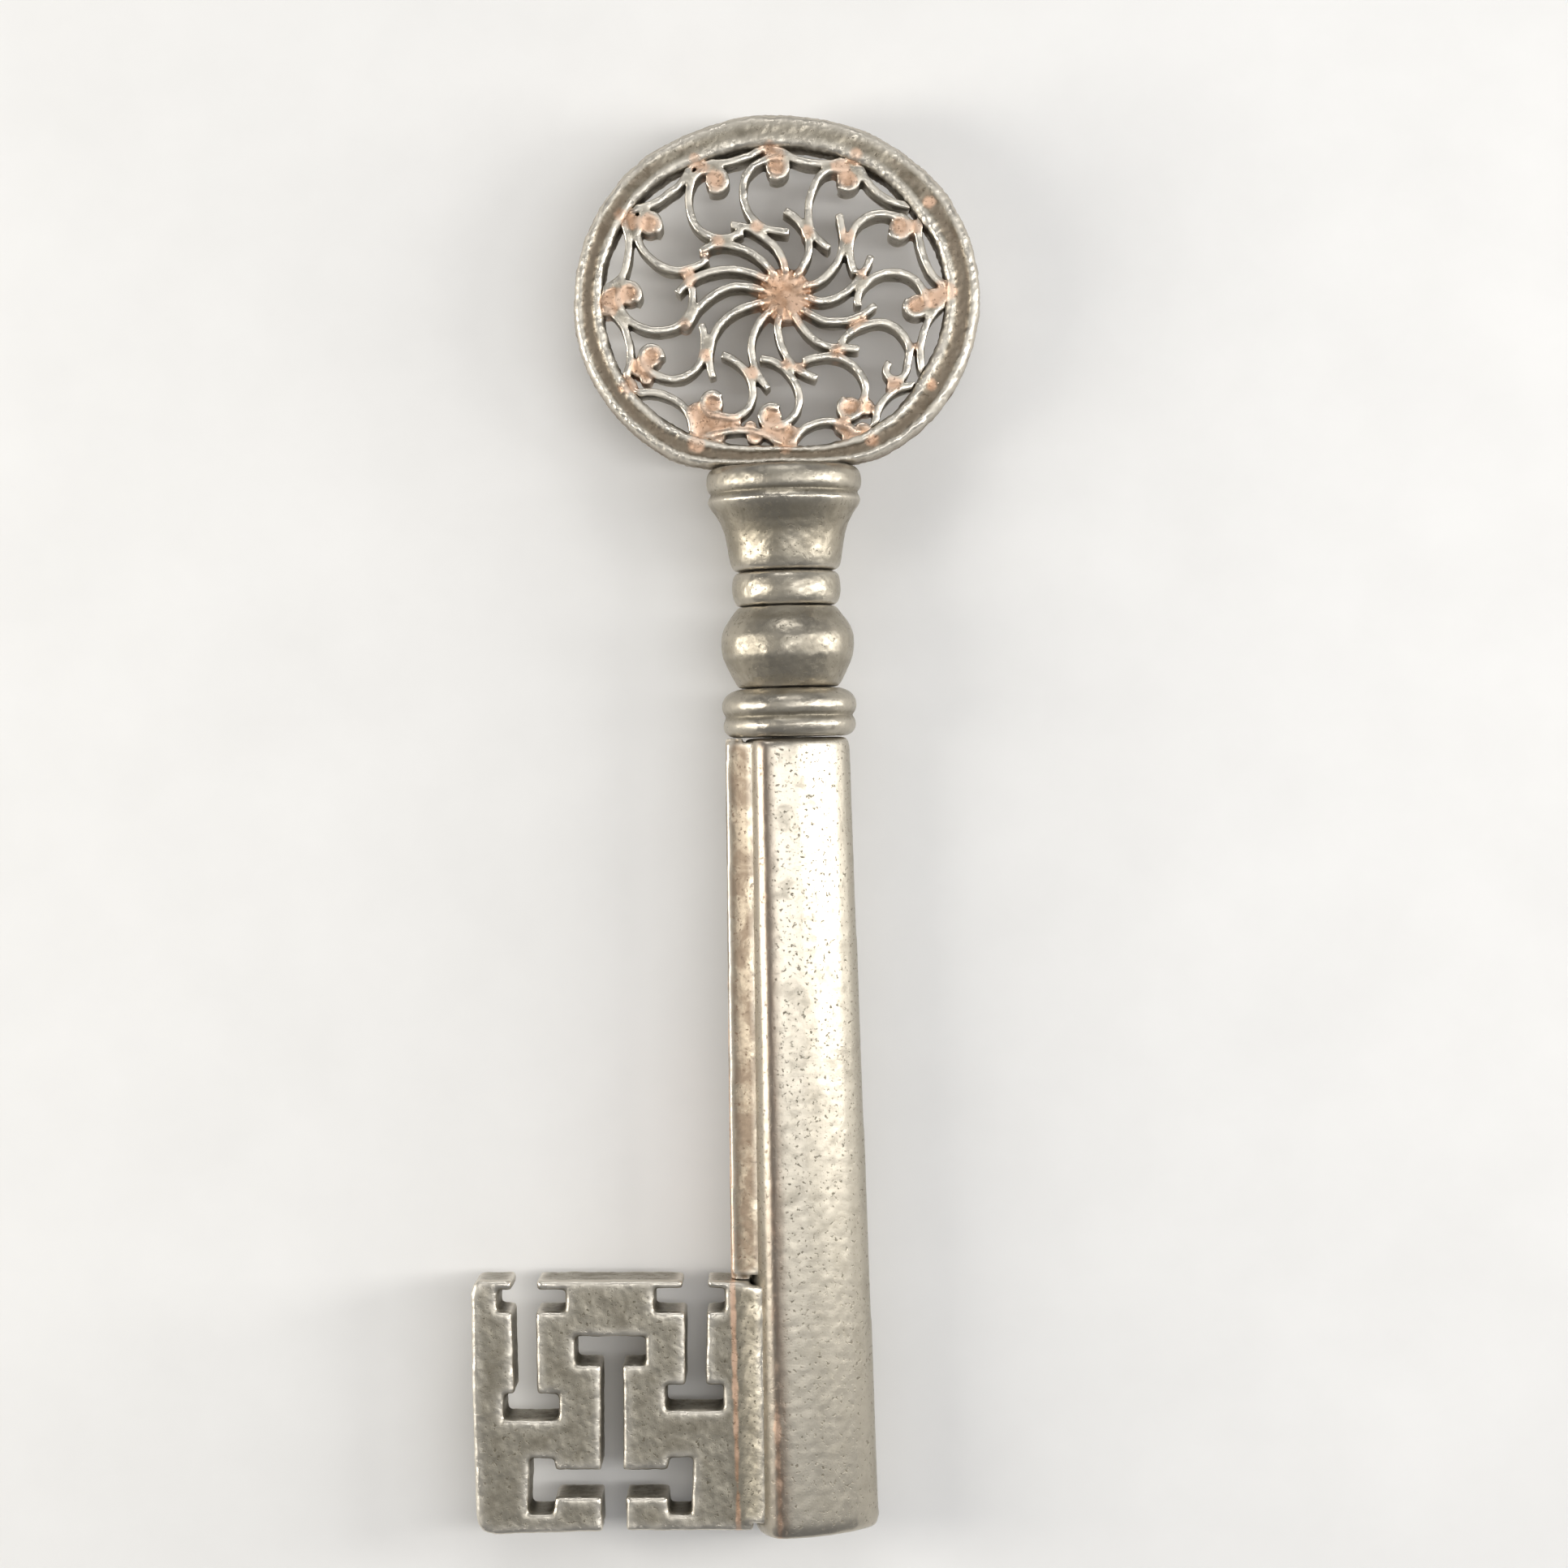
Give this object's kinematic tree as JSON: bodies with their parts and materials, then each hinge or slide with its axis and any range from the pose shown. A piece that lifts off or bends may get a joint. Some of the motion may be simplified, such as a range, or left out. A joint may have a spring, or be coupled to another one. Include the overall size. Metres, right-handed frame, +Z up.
{
  "type": "key",
  "caption": "Forged iron key: openwork rosette bow of brazed scrolls in an oval ring, turned neck, hollow rounded-triangular shank and a bit with ward cuts.",
  "frame": {"origin": "middle of the bounding box, at its bottom; the key lies on its back", "axes": "+Y runs along the shank toward the bow, -X is the side of the bit, +Z is up, out of the bit's face"},
  "size_m": [0.0498, 0.132, 0.0145],
  "materials": {
    "bow_iron": "worn hand-filed iron, bright on the edges",
    "braze": "rough copper braze, pale with wear",
    "neck_iron": "turned iron with brown patina",
    "stem_iron": "filed iron with brown patina in the hollows",
    "bit_iron": "filed iron, bright along the ward cuts"
  },
  "bodies": {
    "root": {"bow_ring": "bow_iron", "rim_arc_01": "bow_iron", "rim_arc_02": "bow_iron", "rim_arc_03": "bow_iron", "rim_arc_04": "bow_iron", "rim_arc_05": "bow_iron", "rim_arc_06": "bow_iron", "rim_arc_07": "bow_iron", "rim_arc_08": "bow_iron", "rim_arc_09": "bow_iron", "rim_arc_10": "bow_iron", "rim_arc_11": "bow_iron", "rim_arc_12": "bow_iron", "scroll_01": "bow_iron", "scroll_02": "bow_iron", "scroll_03": "bow_iron", "scroll_04": "bow_iron", "scroll_05": "bow_iron", "scroll_06": "bow_iron", "scroll_07": "bow_iron", "scroll_08": "bow_iron", "scroll_09": "bow_iron", "scroll_10": "bow_iron", "scroll_11": "bow_iron", "scroll_12": "bow_iron", "spoke_01": "bow_iron", "spoke_02": "bow_iron", "spoke_03": "bow_iron", "spoke_04": "bow_iron", "spoke_05": "bow_iron", "spoke_06": "bow_iron", "spoke_07": "bow_iron", "spoke_08": "bow_iron", "spoke_09": "bow_iron", "spoke_10": "bow_iron", "spoke_11": "bow_iron", "spoke_12": "bow_iron", "eye_braze_01": "braze", "eye_braze_02": "braze", "eye_braze_03": "braze", "eye_braze_04": "braze", "eye_braze_06": "braze", "eye_braze_07": "braze", "eye_braze_08": "braze", "eye_braze_09": "braze", "eye_braze_10": "braze", "eye_braze_11": "braze", "eye_braze_12": "braze", "hub_braze": "braze", "capital": "neck_iron", "neck_bead": "neck_iron", "knop": "neck_iron", "collar": "neck_iron", "shank": "stem_iron", "rib": "stem_iron", "bit": "bit_iron"}
  },
  "joints": []
}
